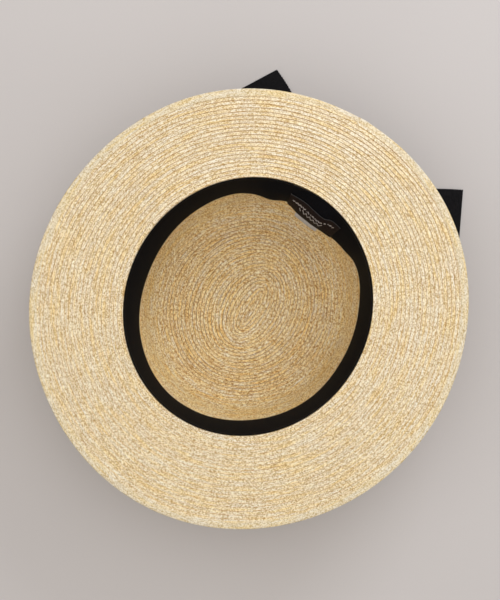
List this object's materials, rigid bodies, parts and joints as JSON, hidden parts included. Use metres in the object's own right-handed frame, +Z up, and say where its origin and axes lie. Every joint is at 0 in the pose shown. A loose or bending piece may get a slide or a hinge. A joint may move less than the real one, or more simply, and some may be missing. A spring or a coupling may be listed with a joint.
{
  "type": "boater hat",
  "caption": "Straw boater hat with a flat brim, an open crown, an inner sweatband, and a grosgrain ribbon with a bow and tails at the back.",
  "frame": {"origin": "centre of the crown tip's outer face, which rests on the ground", "axes": "+Z up out of the head opening, so the hat lies upside down on its crown; -Y to the front of the hat and +Y to its back, where the label and the bow are"},
  "size_m": [0.3139, 0.3293, 0.0866],
  "materials": {
    "straw": "natural wheat straw, plaited and sewn in a spiral",
    "sweatband_ribbon": "black satin ribbon",
    "label_weave": "dark brown-black woven label",
    "care_label_weave": "white woven label",
    "grosgrain": "black grosgrain ribbon, ribbed across"
  },
  "bodies": {
    "root": {"crown": "straw", "brim": "straw", "sweatband": "sweatband_ribbon", "back_label": "label_weave", "care_label": "care_label_weave", "hat_ribbon": "grosgrain", "bow_knot": "grosgrain", "bow_loop_left": "grosgrain", "bow_loop_right": "grosgrain", "ribbon_tail_left": "grosgrain", "ribbon_tail_right": "grosgrain"}
  },
  "joints": []
}
